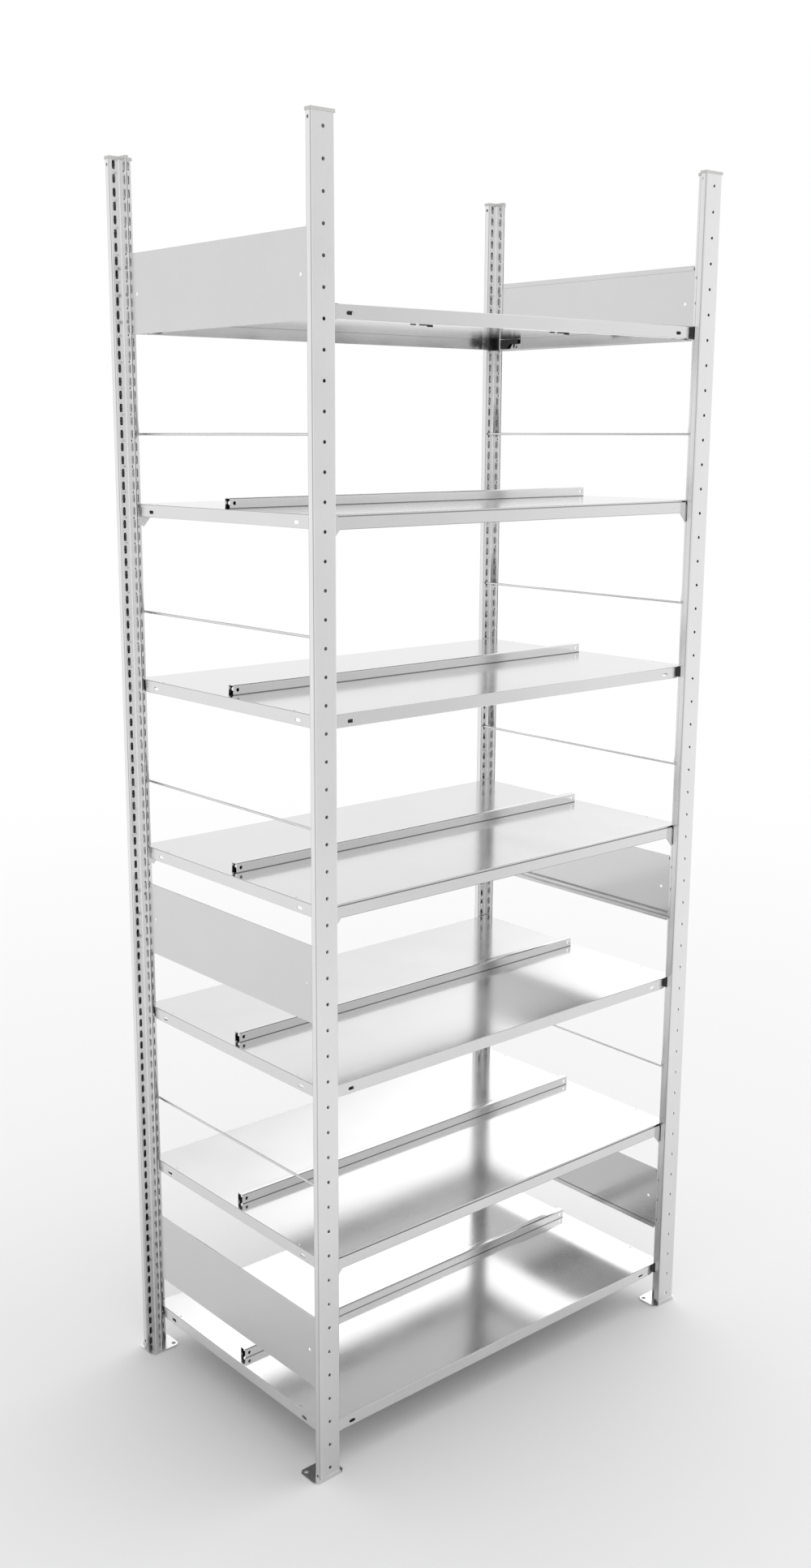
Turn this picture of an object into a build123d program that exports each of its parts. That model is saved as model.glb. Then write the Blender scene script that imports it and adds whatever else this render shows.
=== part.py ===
from build123d import *
import os

# Office shelving unit: four slotted T-section uprights on foot plates, seven
# folded steel shelves, hook-in beams under every second shelf, book stop rails,
# end rods and end panels. All lengths are in millimetres.
# X runs along the shelves, Y from the front to the back, Z up from the floor.
# The origin is on the floor, in the middle of the unit.

# The frame
grid_width = 1005.0
frame_depth = 635.5
unit_height = 2500.0
lowest_shelf_top = 102.5
room_above_top_shelf = 297.5
shelf_count = 7

# The upright's rolled section, seen from above
flange_width = 50.0
flange_depth = 15.7
stem_width = 5.6
section_depth = 38.2
post_wall = 1.25
bend_radius = 3.0
stem_slit = 1.4

# A small bend is drawn as one flat that touches the middle of the rolled bend.
bend_flat_share = 0.586
rod_sides = 8

# The upright's slots and holes
slot_pitch = 25.0
first_slot_height = 12.5
slot_height = 17.0
slot_width = 7.0
slot_offset = 15.5

# The cap on top of each upright
cap_overhang = 1.0
cap_top = 3.5
cap_skirt = 2.5

# The foot plate
foot_width = 72.0
foot_length = 54.0
foot_thickness = 3.0
foot_front_lap = 1.0
foot_chamfer = 7.5
foot_hole_diameter = 9.0
foot_hole_spacing = 53.0
foot_hole_setback = 42.5
collar_height = 5.5
collar_wall = 1.0
collar_opening = 3.0

# The shelf, folded from one sheet
shelf_end_gap = 0.2
shelf_post_gap = 2.05
shelf_edge = 25.0
shelf_sheet = 1.0
shelf_bend = 1.5
shelf_lip = 12.0
edge_turn_long = 43.0
edge_end_long = 24.0
edge_turn_short = 32.0
edge_end_short = 18.0
edge_set_in = 3.0
lip_cut_back = 6.0

# The hook-in beams, in front of and behind every second shelf
beam_sheet = 1.3
beam_top_drop = 4.5
beam_lip = 14.0
beam_ear_length = 19.0
beam_ear_drop = 22.0
beam_end_inset = 27.0
tab_margin = 6.0
hook_depth = 3.0
hook_wall = 1.5
hook_nose = 3.5
hook_play = 0.3

# The corner clips under every other shelf
clip_leg = 4.0
clip_reach = 18.0
clip_root_clearance = 3.2
clip_taper = 3.0
clip_neck_width = 5.0
clip_neck_height = 9.0
clip_gap = 0.1

# The stop rail along the middle of a shelf
rail_length = 961.0
rail_width = 17.0
rail_height = 19.5
rail_wall = 1.25
rail_bend = 3.0

# The end panels
panel_height = 150.0
panel_sheet = 1.0
panel_hem_width = 3.0
panel_hem_height = 10.0
panel_hem_bend = 0.8
panel_end_gap = 3.0
panel_tongue = 12.0
panel_tongue_step = 4.0
panel_corner = 3.0
panel_low_rise = 72.5
panel_middle_rise = 122.5
panel_top_drop = 27.5
middle_panel_shelf_count = 3

# The end rods, with a plate at each end that hooks into two slots
rod_diameter = 4.8
rod_rise = 135.0
rod_end_gap = 2.0
rod_plate_wall = 1.2
rod_plate_reach = 13.0
rod_plate_top = 4.0
rod_plate_below = 3.0
rod_plate_foot = 3.0
rod_hook_steps = 3

# Cutters run past the face they cut by this much.
overrun = 2.0
half_turn = 180

half_grid = grid_width / 2
half_depth = frame_depth / 2
half_stem = stem_width / 2
stem_length = section_depth - flange_depth
shelf_length = grid_width - stem_width - 2 * shelf_end_gap
shelf_depth = frame_depth - 2 * (flange_depth + shelf_post_gap)
beam_set_back = (shelf_post_gap - beam_sheet) / 2
# The shelves stand at an even pitch that is a whole number of slots.
shelf_steps = (unit_height - lowest_shelf_top - room_above_top_shelf) / (shelf_count - 1)
shelf_pitch = slot_pitch * int(shelf_steps / slot_pitch)
hook_levels = range(1, shelf_count - 1, 2)
clip_levels = range(0, shelf_count, 2)
rod_levels = range(1, shelf_count - 1)

corners = {
    "front_left": (1, 1),
    "front_right": (-1, 1),
    "rear_left": (1, -1),
    "rear_right": (-1, -1),
}


def shelf_top(level):
    """Height of a shelf's top face, level 0 being the lowest shelf."""
    return lowest_shelf_top + shelf_pitch * level


def turned(solid, x_sign, y_sign):
    """The solid made for the front left corner, mirrored for another corner."""
    if x_sign < 0:
        solid = mirror(solid, about=Plane.YZ)
    if y_sign < 0:
        solid = mirror(solid, about=Plane.XZ)
    return solid


def at_corner(solid, name):
    """A solid drawn about the upright's stem and outer face, set at a corner."""
    x_sign, y_sign = corners[name]
    return Pos(-x_sign * half_grid, -y_sign * half_depth, 0) * turned(solid, x_sign, y_sign)


def box_between(low, high):
    """A box from its lowest corner to its highest corner."""
    size = [b - a for a, b in zip(low, high)]
    middle = [(a + b) / 2 for a, b in zip(low, high)]
    return Pos(*middle) * Box(*size)


def flatted(corner_points, radius):
    """The same outline with the given corners bent at a radius."""
    return chamfer(corner_points, radius * bend_flat_share)


def flange_outline():
    """The closed box of the flange, with its bends."""
    box = Pos(0, flange_depth / 2) * Rectangle(flange_width, flange_depth)
    return flatted(box.vertices(), bend_radius)


def section_outline(grow):
    """The T of the upright, grown or shrunk all round: flange, stem and bends."""
    flange_middle = flange_depth / 2
    flange = Rectangle(flange_width + 2 * grow, flange_depth + 2 * grow)
    stem = Rectangle(stem_width + 2 * grow, stem_length)
    outline = Pos(0, flange_middle) * flange
    outline += Pos(0, flange_depth + stem_length / 2 + grow) * stem
    root = flange_depth + grow
    near = post_wall / 2
    hollow = [v for v in outline.vertices() if abs(v.X) < stem_width and abs(v.Y - root) < near]
    outline = flatted(hollow, bend_radius - grow)
    outer = [v for v in outline.vertices() if abs(v.X) > flange_width / 2 - 2 * post_wall]
    return flatted(outer, bend_radius + grow)


def upright():
    """Rolled T section, open along its stem, with the slots of the bay side."""
    outline = section_outline(0)
    inside = section_outline(-post_wall)
    mouth = Pos(0, section_depth) * Rectangle(stem_slit, 2 * (post_wall + overrun))
    section = outline - inside - mouth
    height = unit_height - foot_thickness
    post = Pos(0, 0, foot_thickness) * extrude(section, amount=height)
    slot = Box(slot_width, post_wall + overrun, slot_height)
    slot_y = flange_depth - post_wall / 2
    slot_count = int((unit_height - first_slot_height) / slot_pitch) + 1
    cuts = []
    for number in range(slot_count):
        z = first_slot_height + slot_pitch * number
        cuts.append(Pos(slot_offset, slot_y, z) * slot)
    return post - cuts


def cap():
    """Moulded cap that sits over the top of the upright."""
    outline = section_outline(0)
    wide = section_outline(cap_overhang)
    shell = Pos(0, 0, unit_height - cap_skirt) * extrude(wide, amount=cap_skirt + cap_top)
    seat = Pos(0, 0, unit_height - cap_skirt) * extrude(outline, amount=cap_skirt)
    return shell - seat


def foot():
    """Foot plate with a collar round three sides of the flange."""
    middle = foot_length / 2 - foot_front_lap
    plate = Pos(0, middle) * Rectangle(foot_width, foot_length)
    plate = chamfer(plate.vertices(), foot_chamfer)
    for side in (-1, 1):
        hole = Circle(foot_hole_diameter / 2)
        plate -= Pos(side * foot_hole_spacing / 2, foot_hole_setback) * hole
    solid = extrude(plate, amount=foot_thickness)
    outside = Pos(0, flange_depth / 2) * Rectangle(
        flange_width + 2 * collar_wall, flange_depth + 2 * collar_wall
    )
    ring = outside - flange_outline()
    back = flange_depth + collar_wall
    cut = Pos(0, back) * Rectangle(2 * flange_width, 2 * (collar_opening + collar_wall))
    collar = extrude(ring - cut, amount=collar_height)
    return solid + Pos(0, 0, foot_thickness) * collar


def edge_path(half_run, out, turn, end, set_in):
    """Outline of one folded edge seen from above: a run with its ends set in."""
    points = [
        (-half_run + end, out - set_in),
        (-half_run + turn, out),
        (half_run - turn, out),
        (half_run - end, out - set_in),
        (half_run - end, out - set_in - shelf_sheet),
        (half_run - turn, out - shelf_sheet),
        (-half_run + turn, out - shelf_sheet),
        (-half_run + end, out - set_in - shelf_sheet),
    ]
    return make_face(Polyline(*points, close=True))


def folded_edge(half_run, out, turn, end):
    """One edge of the shelf, standing from its lip to the top sheet."""
    skirt = extrude(edge_path(half_run, out, turn, end, edge_set_in), amount=shelf_edge)
    ends = 2 * (half_run - turn)
    lip = box_between(
        (-ends / 2 + lip_cut_back, out - shelf_lip, 0),
        (ends / 2 - lip_cut_back, out, shelf_sheet),
    )
    return skirt + lip


def bend_cutter(half_run, out, turn):
    """What is cut away to bend the sheet along the top of an edge."""
    flat = shelf_bend * bend_flat_share
    points = [
        (out - flat, shelf_edge),
        (out, shelf_edge - flat),
        (out + flat, shelf_edge),
    ]
    wedge = make_face(Plane.YZ * Polyline(*points, close=True))
    return extrude(wedge, amount=half_run - turn, both=True)


def shelf():
    """Shelf tray, drawn with its lips at height 0 and its middle at the origin."""
    half_long = shelf_length / 2
    half_short = shelf_depth / 2
    long_edge = folded_edge(half_long, half_short, edge_turn_long, edge_end_long)
    short_edge = folded_edge(half_short, half_long, edge_turn_short, edge_end_short)
    sheet = Pos(0, 0, shelf_edge - shelf_sheet) * extrude(
        Rectangle(shelf_length, shelf_depth), amount=shelf_sheet
    )
    tray = sheet + long_edge + Rot(0, 0, 180) * long_edge
    tray += Rot(0, 0, 90) * short_edge
    tray += Rot(0, 0, -90) * short_edge
    long_bend = bend_cutter(half_long, half_short, edge_turn_long)
    short_bend = bend_cutter(half_short, half_long, edge_turn_short)
    for angle, cutter in ((0, long_bend), (90, short_bend)):
        tray -= Rot(0, 0, angle) * cutter
        tray -= Rot(0, 0, angle + half_turn) * cutter
    return tray


def beam():
    """Front beam, drawn with the shelf's top at height 0 and its inner face at y 0."""
    half_run = half_grid - beam_end_inset
    ear_in = half_run - beam_ear_length
    low = -shelf_edge - beam_sheet
    tip = -shelf_edge - beam_ear_drop
    slot_drop = (shelf_top(0) - first_slot_height) % slot_pitch
    ear_top = -beam_top_drop
    face = [
        (-half_run, ear_top),
        (half_run, ear_top),
        (half_run, tip),
        (ear_in, low),
        (-ear_in, low),
        (-half_run, tip),
    ]
    web = make_face(Plane.XZ * Polyline(*face, close=True))
    solid = extrude(web, amount=beam_sheet, dir=Vector(0, -1, 0))
    lip = box_between((-ear_in, -beam_sheet, low), (ear_in, beam_lip, -shelf_edge))
    solid += lip
    hook_x = half_grid - slot_offset
    for side in (-1, 1):
        tab = box_between(
            (half_run - overrun, -beam_sheet, tip + tab_margin / 2),
            (hook_x + hook_wall / 2, 0, -slot_drop + tab_margin),
        )
        wall_out = beam_set_back - shelf_post_gap - post_wall
        for drop in (slot_drop, slot_drop + slot_pitch):
            bottom = -drop - slot_height / 2
            hook = [
                (0, bottom),
                (wall_out - hook_depth, bottom),
                (wall_out - hook_depth, bottom + hook_nose),
                (0, bottom + slot_height / 2),
            ]
            blade = make_face(Plane.YZ * Polyline(*hook, close=True))
            blade = extrude(blade, amount=hook_wall, dir=Vector(1, 0, 0))
            tab += Pos(hook_x - hook_wall / 2, 0, 0) * blade
        if side < 0:
            tab = mirror(tab, about=Plane.YZ)
        solid += tab
    return solid


def corner_clip():
    """Moulded clip in an upright's inner corner, shelf top at height 0."""
    top = -shelf_sheet
    low = -shelf_edge
    x0 = half_stem
    points = [
        (x0 + clip_root_clearance, flange_depth),
        (x0 + clip_reach, flange_depth),
        (x0 + clip_reach - clip_taper, flange_depth + clip_leg),
        (x0 + clip_leg, flange_depth + clip_leg),
        (x0 + clip_leg, flange_depth + clip_reach - clip_taper),
        (x0, flange_depth + clip_reach),
        (x0, flange_depth + clip_root_clearance),
    ]
    body = extrude(make_face(Polyline(*points, close=True)), amount=top - low)
    body = Pos(0, 0, low) * body
    slot_drop = (shelf_top(0) - first_slot_height) % slot_pitch
    bottom = -slot_drop - slot_height / 2
    neck = box_between(
        (slot_offset - clip_neck_width / 2, flange_depth - post_wall - hook_play, bottom),
        (slot_offset + clip_neck_width / 2, flange_depth + clip_gap, bottom + clip_neck_height),
    )
    return body + neck


def stop_rail():
    """Inverted channel with rounded bends, standing on height 0."""
    outer = Pos(0, rail_height / 2) * Rectangle(rail_width, rail_height)
    outer = flatted(outer.vertices().group_by(Axis.Y)[-1], rail_bend)
    inner_height = rail_height - rail_wall
    inner = Pos(0, inner_height / 2) * Rectangle(rail_width - 2 * rail_wall, inner_height)
    inner = flatted(inner.vertices().group_by(Axis.Y)[-1], rail_bend - rail_wall)
    return extrude(Plane.YZ * (outer - inner), amount=rail_length / 2, both=True)


def end_panel():
    """Left end panel about its own middle, hems towards the bay."""
    half_run = half_depth - section_depth - panel_end_gap
    half_height = panel_height / 2
    half_sheet = panel_sheet / 2
    flat = Rectangle(2 * half_run, panel_height)
    tongue_run = half_run + panel_end_gap + panel_tongue
    tongue_height = panel_height - 2 * panel_tongue_step
    tongue = Rectangle(2 * tongue_run, tongue_height)
    flat += flatted(tongue.vertices(), panel_corner)
    panel = extrude(Plane.YZ * flat, amount=half_sheet, both=True)
    hem_in = -half_sheet + panel_hem_width
    turn = Pos((hem_in - half_sheet) / 2, half_height - panel_sheet / 2) * Rectangle(
        panel_hem_width, panel_sheet
    )
    leaf = Pos(hem_in - half_sheet, half_height - panel_hem_height / 2) * Rectangle(
        panel_sheet, panel_hem_height
    )
    hem = turn + leaf
    rims = hem.vertices().group_by(Axis.Y)[-1]
    hem = flatted(rims.sort_by(Axis.X)[-1], panel_hem_bend)
    hem = extrude(Plane.XZ * hem, amount=half_run, both=True)
    return panel + hem + mirror(hem, about=Plane.XY)


def end_rod():
    """Left end rod between two uprights, with its hook plates, rod axis at height 0."""
    wall_in = half_depth - flange_depth
    x = slot_offset + (rod_plate_wall + rod_diameter) / 2
    across = Rot(0, 0, half_turn / rod_sides) * RegularPolygon(rod_diameter / 2, rod_sides)
    rod = Pos(x, 0, 0) * extrude(Plane.XZ * across, amount=wall_in - rod_end_gap, both=True)
    slot_drop = (shelf_top(0) + rod_rise - first_slot_height) % slot_pitch
    low = -slot_drop - slot_height / 2
    high = low + slot_pitch * rod_hook_steps
    tip = wall_in + post_wall + hook_depth
    points = [
        (tip, low),
        (wall_in - rod_plate_foot, low),
        (wall_in - rod_plate_foot, -rod_plate_below),
        (wall_in - rod_plate_reach, -rod_plate_below),
        (wall_in - rod_plate_reach, rod_diameter / 2),
        (wall_in - rod_plate_top, high + hook_nose),
        (tip, high + hook_nose),
        (tip, high),
        (wall_in, high),
        (wall_in, low + hook_nose),
        (tip, low + hook_nose),
    ]
    plate = make_face(Plane.YZ * Polyline(*points, close=True))
    plate = extrude(plate, amount=rod_plate_wall, dir=Vector(1, 0, 0))
    plate = Pos(slot_offset - rod_plate_wall / 2, 0, 0) * plate
    return rod + plate + mirror(plate, about=Plane.XZ)


def export_named(name, solid):
    """Write one piece to its own file."""
    export_step(solid, os.path.join("parts", name + ".step"))


def main():
    os.makedirs("parts", exist_ok=True)
    post, top_cap, base = upright(), cap(), foot()
    for name in corners:
        export_named("upright_" + name, at_corner(post, name))
        export_named("cap_" + name, at_corner(top_cap, name))
        export_named("foot_" + name, at_corner(base, name))

    tray, rail = shelf(), stop_rail()
    for level in range(shelf_count):
        z = shelf_top(level)
        export_named("shelf_%d" % (level + 1), Pos(0, 0, z - shelf_edge) * tray)
        if level < shelf_count - 1:
            export_named("stop_rail_%d" % (level + 1), Pos(0, 0, z) * rail)

    front_beam = beam()
    for level in hook_levels:
        for name, y_sign in (("front", 1), ("rear", -1)):
            y = -(shelf_depth / 2 + beam_set_back)
            placed = Pos(0, y, shelf_top(level)) * front_beam
            export_named("beam_%s_%d" % (name, level + 1), turned(placed, 1, y_sign))

    clip = corner_clip()
    for level in clip_levels:
        lifted = Pos(0, 0, shelf_top(level)) * clip
        group = [at_corner(lifted, name) for name in corners]
        export_named("shelf_clips_%d" % (level + 1), Compound(children=group))

    panel = end_panel()
    panel_bottoms = {
        "low": shelf_top(0) + panel_low_rise,
        "middle": shelf_top(middle_panel_shelf_count - 1) + panel_middle_rise,
        "top": shelf_top(shelf_count - 1) - panel_top_drop,
    }
    rod = end_rod()
    for name, x_sign in (("left", 1), ("right", -1)):
        for place, z in panel_bottoms.items():
            placed = Pos(-half_grid, 0, z + panel_height / 2) * panel
            export_named("end_panel_%s_%s" % (name, place), turned(placed, x_sign, 1))
        for level in rod_levels:
            placed = Pos(-half_grid, 0, shelf_top(level) + rod_rise) * rod
            export_named("end_rod_%s_%d" % (name, level + 1), turned(placed, x_sign, 1))


main()
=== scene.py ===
import math
from contextlib import contextmanager
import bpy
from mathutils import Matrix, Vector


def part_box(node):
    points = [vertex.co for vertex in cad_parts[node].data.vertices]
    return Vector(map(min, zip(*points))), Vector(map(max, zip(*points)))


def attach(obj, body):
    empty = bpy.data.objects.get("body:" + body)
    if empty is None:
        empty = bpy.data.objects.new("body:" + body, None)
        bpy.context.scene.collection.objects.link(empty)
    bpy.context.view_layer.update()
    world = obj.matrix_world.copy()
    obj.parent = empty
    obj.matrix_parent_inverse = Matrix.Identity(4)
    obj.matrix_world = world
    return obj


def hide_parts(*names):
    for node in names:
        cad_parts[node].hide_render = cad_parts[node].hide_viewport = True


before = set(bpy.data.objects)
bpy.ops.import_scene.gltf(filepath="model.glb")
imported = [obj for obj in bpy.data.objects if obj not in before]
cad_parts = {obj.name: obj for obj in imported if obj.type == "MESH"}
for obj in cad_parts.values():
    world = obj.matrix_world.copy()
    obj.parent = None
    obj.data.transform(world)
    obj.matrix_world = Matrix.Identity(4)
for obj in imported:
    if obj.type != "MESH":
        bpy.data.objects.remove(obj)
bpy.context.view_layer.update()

from types import SimpleNamespace

import bmesh
import bpy
from bpy.props import FloatProperty, FloatVectorProperty, IntProperty, PointerProperty
from mathutils import Vector

bl_info = {
    "name": "Office shelving unit",
    "version": (1, 0, 0),
    "blender": (4, 5, 0),
    "location": "3D View > Sidebar > Shelving",
    "description": "Builds the pieces of a slotted steel shelving unit round its measured frame",
    "category": "Object",
}

MM = 0.001
ROOT_BODY = "frame"
FLOOR_SIZE = 60.0
CORNERS = {
    "front_left": (-1, -1),
    "front_right": (1, -1),
    "rear_left": (-1, 1),
    "rear_right": (1, 1),
}
TURNS = {"X": (0, math.pi / 2, 0), "Y": (math.pi / 2, 0, 0), "Z": (0, 0, 0)}

# The camera's picture in pixels, and the height of its sensor in millimetres
PICTURE_WIDTH, PICTURE_HEIGHT = 1000, 1933
PRINCIPAL_POINT = (452.2, 967.7)
FOCAL_PIXELS = 1973.7
SENSOR_HEIGHT = 24.0

# How much painted shade darkens the steel where little light comes, from 0 to 1
PAINTED_SHADE_HOLLOW = 0.1
PAINTED_SHADE_CREASE = 0.4
PAINTED_SHADE_NEAR_FLOOR = 0.15
PAINTED_SHADE_FOLD = 0.45
PAINTED_SHADE_JOINT = 0.65
PAINTED_SHADE_FOOT = 0.8
PAINTED_SHADE_BEND = 0.5
PAINTED_SHADE_TONE = 0.15

# Fineness of the patterns in steel and plastic, and how far tone, gloss and surface vary with them
STEEL_GRAIN, STEEL_CLOUDS, GRAIN_SHARE = 900.0, 9.0, 0.6
STEEL_SPREAD, GLOSS_SPREAD, STEEL_DENT = 0.03, 0.12, 0.03
PLASTIC_GRAIN, PLASTIC_SPREAD, PLASTIC_GLOSS, PLASTIC_DENT = 1500.0, 0.04, 0.1, 0.08

# Where the backdrop dims, in cosines from straight ahead, and is bright again, from straight behind
DIM_FROM, DIM_TO = 0.0, -0.2
BACK_FROM, BACK_TO = 0.7, 0.9


def fixed(**sizes):
    """Sizes of small details, given in millimetres, that a user has no need to change."""
    return SimpleNamespace(**{key: size * MM for key, size in sizes.items()})


# A post's small holes, the slit and the bends at its stem's end, and the plate that it stands on
POST = fixed(
    stem_hole_depth=30.5, side_hole_depth=7.5, side_hole=6.0, slit=1.4, stem_bend=2.0, foot_plate=3.0,
    stem_hole=4.6,
)
# How far a panel's pin stands out of the stem and sits in from the stem's end
PIN = fixed(head=2.0, inset=7.7)
# A shelf's folds and holes: creases and ends from the corners, holes from the edges
TRAY = fixed(
    turn_long=43.0, end_long=24.0, turn_short=32.0, end_short=18.0, set_in=3.0, hole_inset=67.5,
    hole_drop=14.6, top_hole_inset=6.0, top_hole_setback=85.0, notch=4.0, top_hole=4.5,
)
# The end of a beam: its ear, the tab that reaches into the post, and the two small dents
BEAM_END = fixed(
    tab_drop=9.0, tab_rise=3.0, mark_inset=41.0, mark_gap=9.0, mark_width=1.5, mark_depth=0.4,
    mark_height=4.0, ear=19.0, ear_drop=22.0, inset=27.0,
)
# How far a cap stands out all round, reaches down and stands above its post
CAP = fixed(overhang=1.0, skirt=2.5, top=3.5, rounding=1.2)
# A corner clip: lengths from the shelf's corner, heights down from its top face
CLIP = fixed(
    wall=2.0, play=0.3, start=24.0, end=80.0, root=46.0, neck=54.0, top=2.0, half=12.5, low=23.0,
    latch_low=21.5, latch=17.0, spur=3.0, plug_near=18.2, plug_far=23.2, plug_out=1.7, plug_in=6.0,
)
# The clips below a stop rail, drawn black, which also paints the shade under the shelf: each has a tab, a
# gap and a longer hook with a latch
RAIL_CLIP = fixed(pitch=399.0, half=30.0, short=15.0, gap=9.0, drop=2.0, latch_drop=4.2, wall=1.6)
# A panel: its hems with their bends and gaps, the tongues in the posts, and where its holes are
PANEL = fixed(
    hem_bend=0.9, gap=3.0, step=4.0, tongue=12.0, corner=3.0, hem_width=3.0, hem_height=10.0,
    hole_inset=62.0,
)
# A rod's end plate with its two hooks: lengths from the post's flange, heights from the rod
PLATE = fixed(
    wall=1.2, reach=13.0, top=4.0, below=3.0, foot=3.0, spread=75.0, hook=4.25, nose=3.5, gap=2.0,
)


# Sizes and colours that a user may change

def length(title, millimetres, text):
    """A length in metres, given in millimetres."""
    return FloatProperty(
        name=title, description=text, default=millimetres * MM,
        precision=4, subtype="DISTANCE", unit="LENGTH",
    )


def angle(title, degrees, text):
    """An angle, with its default in degrees."""
    return FloatProperty(name=title, description=text, default=math.radians(degrees), subtype="ANGLE")


def colour(title, shade, text):
    """A colour of three shares from 0 to 1."""
    return FloatVectorProperty(
        name=title, description=text, default=shade, size=3, min=0.0, max=1.0, subtype="COLOR",
    )


def share(title, value, text):
    """A number from 0 to 1."""
    return FloatProperty(name=title, description=text, default=value, min=0.0, max=1.0, subtype="FACTOR")


def strength(title, value, text):
    """A strength of light, 1 being white."""
    return FloatProperty(name=title, description=text, default=value, min=0.0)


class UnitSizes(bpy.types.PropertyGroup):
    """The unit as a whole."""
    grid_width: length("Grid width", 1005.0, "Between the middles of a left and a right post")
    frame_depth: length("Frame depth", 635.5, "Between the front and the rear posts' faces")
    unit_height: length("Height", 2500.0, "Height of the posts")
    shelf_pitch: length("Shelf pitch", 350.0, "From one shelf to the next")
    lowest_shelf_top: length("Lowest shelf", 102.5, "Height of the lowest shelf's top face")
    shelf_count: IntProperty(name="Shelves", description="Number of shelves", default=7, min=2)


class PostSizes(bpy.types.PropertyGroup):
    """The rolled T section of the posts and its holes."""
    flange_width: length("Flange width", 50.0, "Width of the post's front")
    flange_depth: length("Flange depth", 15.7, "Depth of the post's flange box")
    stem_width: length("Stem width", 5.6, "Width of the stem")
    section_depth: length("Section depth", 38.2, "Depth of the whole section")
    wall: length("Wall", 1.25, "Thickness of the rolled sheet")
    bend: length("Bend", 3.0, "Outer radius of the bends")
    tile: length("Hole pitch", 50.0, "Distance between the holes of the post's face")
    slot_height: length("Slot height", 17.0, "Height of a slot")
    slot_width: length("Slot width", 6.8, "Width of a slot")
    slot_offset: length("Slot offset", 15.5, "From the post's middle line to a slot's middle")
    face_hole: length("Face hole", 6.5, "Diameter of the holes in the face")


class ShelfSizes(bpy.types.PropertyGroup):
    """The folded shelf tray."""
    run: length("Length", 999.0, "Length of the shelf")
    depth: length("Depth", 600.0, "Depth of the shelf")
    edge: length("Edge", 25.0, "Height of the folded edges")
    sheet: length("Sheet", 1.0, "Thickness of the sheet")
    bend: length("Bend", 1.6, "Radius of the folds")
    lip: length("Lip", 12.0, "Width of the lips below")
    long_hole: length("Long hole", 15.2, "Length of the long holes in the edges")
    long_hole_width: length("Long hole width", 6.8, "Width of the long holes")


class BeamSizes(bpy.types.PropertyGroup):
    """The hook-in beams in front of and behind every second shelf."""
    sheet: length("Sheet", 1.3, "Thickness of the sheet")
    top_drop: length("Top drop", 4.5, "From the shelf's top to the beam's upper rim")
    # the dark joint is a painted shadow in the gap between the shelf and the beam
    joint: length("Joint", 2.4, "From the shelf's top to the dark joint")
    lip: length("Lip", 14.0, "Depth of the lip under the shelf")


class RailSizes(bpy.types.PropertyGroup):
    """The stop rail along the middle of a shelf."""
    run: length("Length", 961.0, "Length of the rail")
    width: length("Width", 17.0, "Width of the rail")
    height: length("Height", 19.5, "Height of the rail")
    wall: length("Wall", 1.25, "Thickness of the sheet")
    bend: length("Bend", 3.0, "Radius of the bends")
    hole: length("Hole", 7.2, "Diameter of the holes near the ends")
    hole_inset: length("Hole inset", 10.0, "From the rail's end to its hole")
    hole_height: length("Hole height", 10.0, "From the shelf to the rail's hole")


class EndSizes(bpy.types.PropertyGroup):
    """The end panels and the end rods."""
    panel_height: length("Panel height", 150.0, "Height of a panel")
    panel_sheet: length("Panel sheet", 1.0, "Thickness of a panel's sheet")
    panel_hole: length("Panel hole", 6.5, "Diameter of the holes in the panels")
    pin: length("Pin", 7.0, "Diameter of the pins that hold the panels")
    pin_pitch: length("Pin pitch", 50.0, "Distance between the pins of one panel end")
    rod: length("Rod", 4.8, "Diameter of the rods")
    rod_rise: length("Rod rise", 135.0, "From a shelf's top to its end rod")


class Finishes(bpy.types.PropertyGroup):
    """Colours and gloss."""
    post: colour("Post steel", (0.80, 0.80, 0.80), "Zinc coated steel of the posts")
    shelf: colour("Shelf steel", (0.73, 0.73, 0.73), "Zinc coated steel of the shelves and beams")
    rail: colour("Rail steel", (0.75, 0.75, 0.75), "Zinc coated steel of the stop rails")
    panel: colour("Panel steel", (0.66, 0.66, 0.66), "Zinc coated steel of the end panels")
    rod: colour("Rod steel", (0.72, 0.72, 0.72), "Bright steel of the end rods")
    pin: colour("Pin steel", (0.34, 0.34, 0.34), "Darker steel of the cross pins")
    foot: colour("Foot steel", (0.70, 0.70, 0.70), "Zinc coated steel of the foot plates")
    cap: colour("Cap plastic", (0.60, 0.60, 0.59), "Moulded caps on the posts")
    clip: colour("Clip plastic", (0.03, 0.03, 0.03), "Moulded clips under the shelves")
    steel_roughness: share("Steel roughness", 0.15, "How blurred the sheets' reflections are")
    post_roughness: share("Post roughness", 0.24, "How blurred the posts' reflections are")
    cap_roughness: share("Cap roughness", 0.45, "How blurred the caps' reflections are")
    clip_roughness: share("Clip roughness", 0.4, "How blurred the clips' reflections are")


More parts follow.
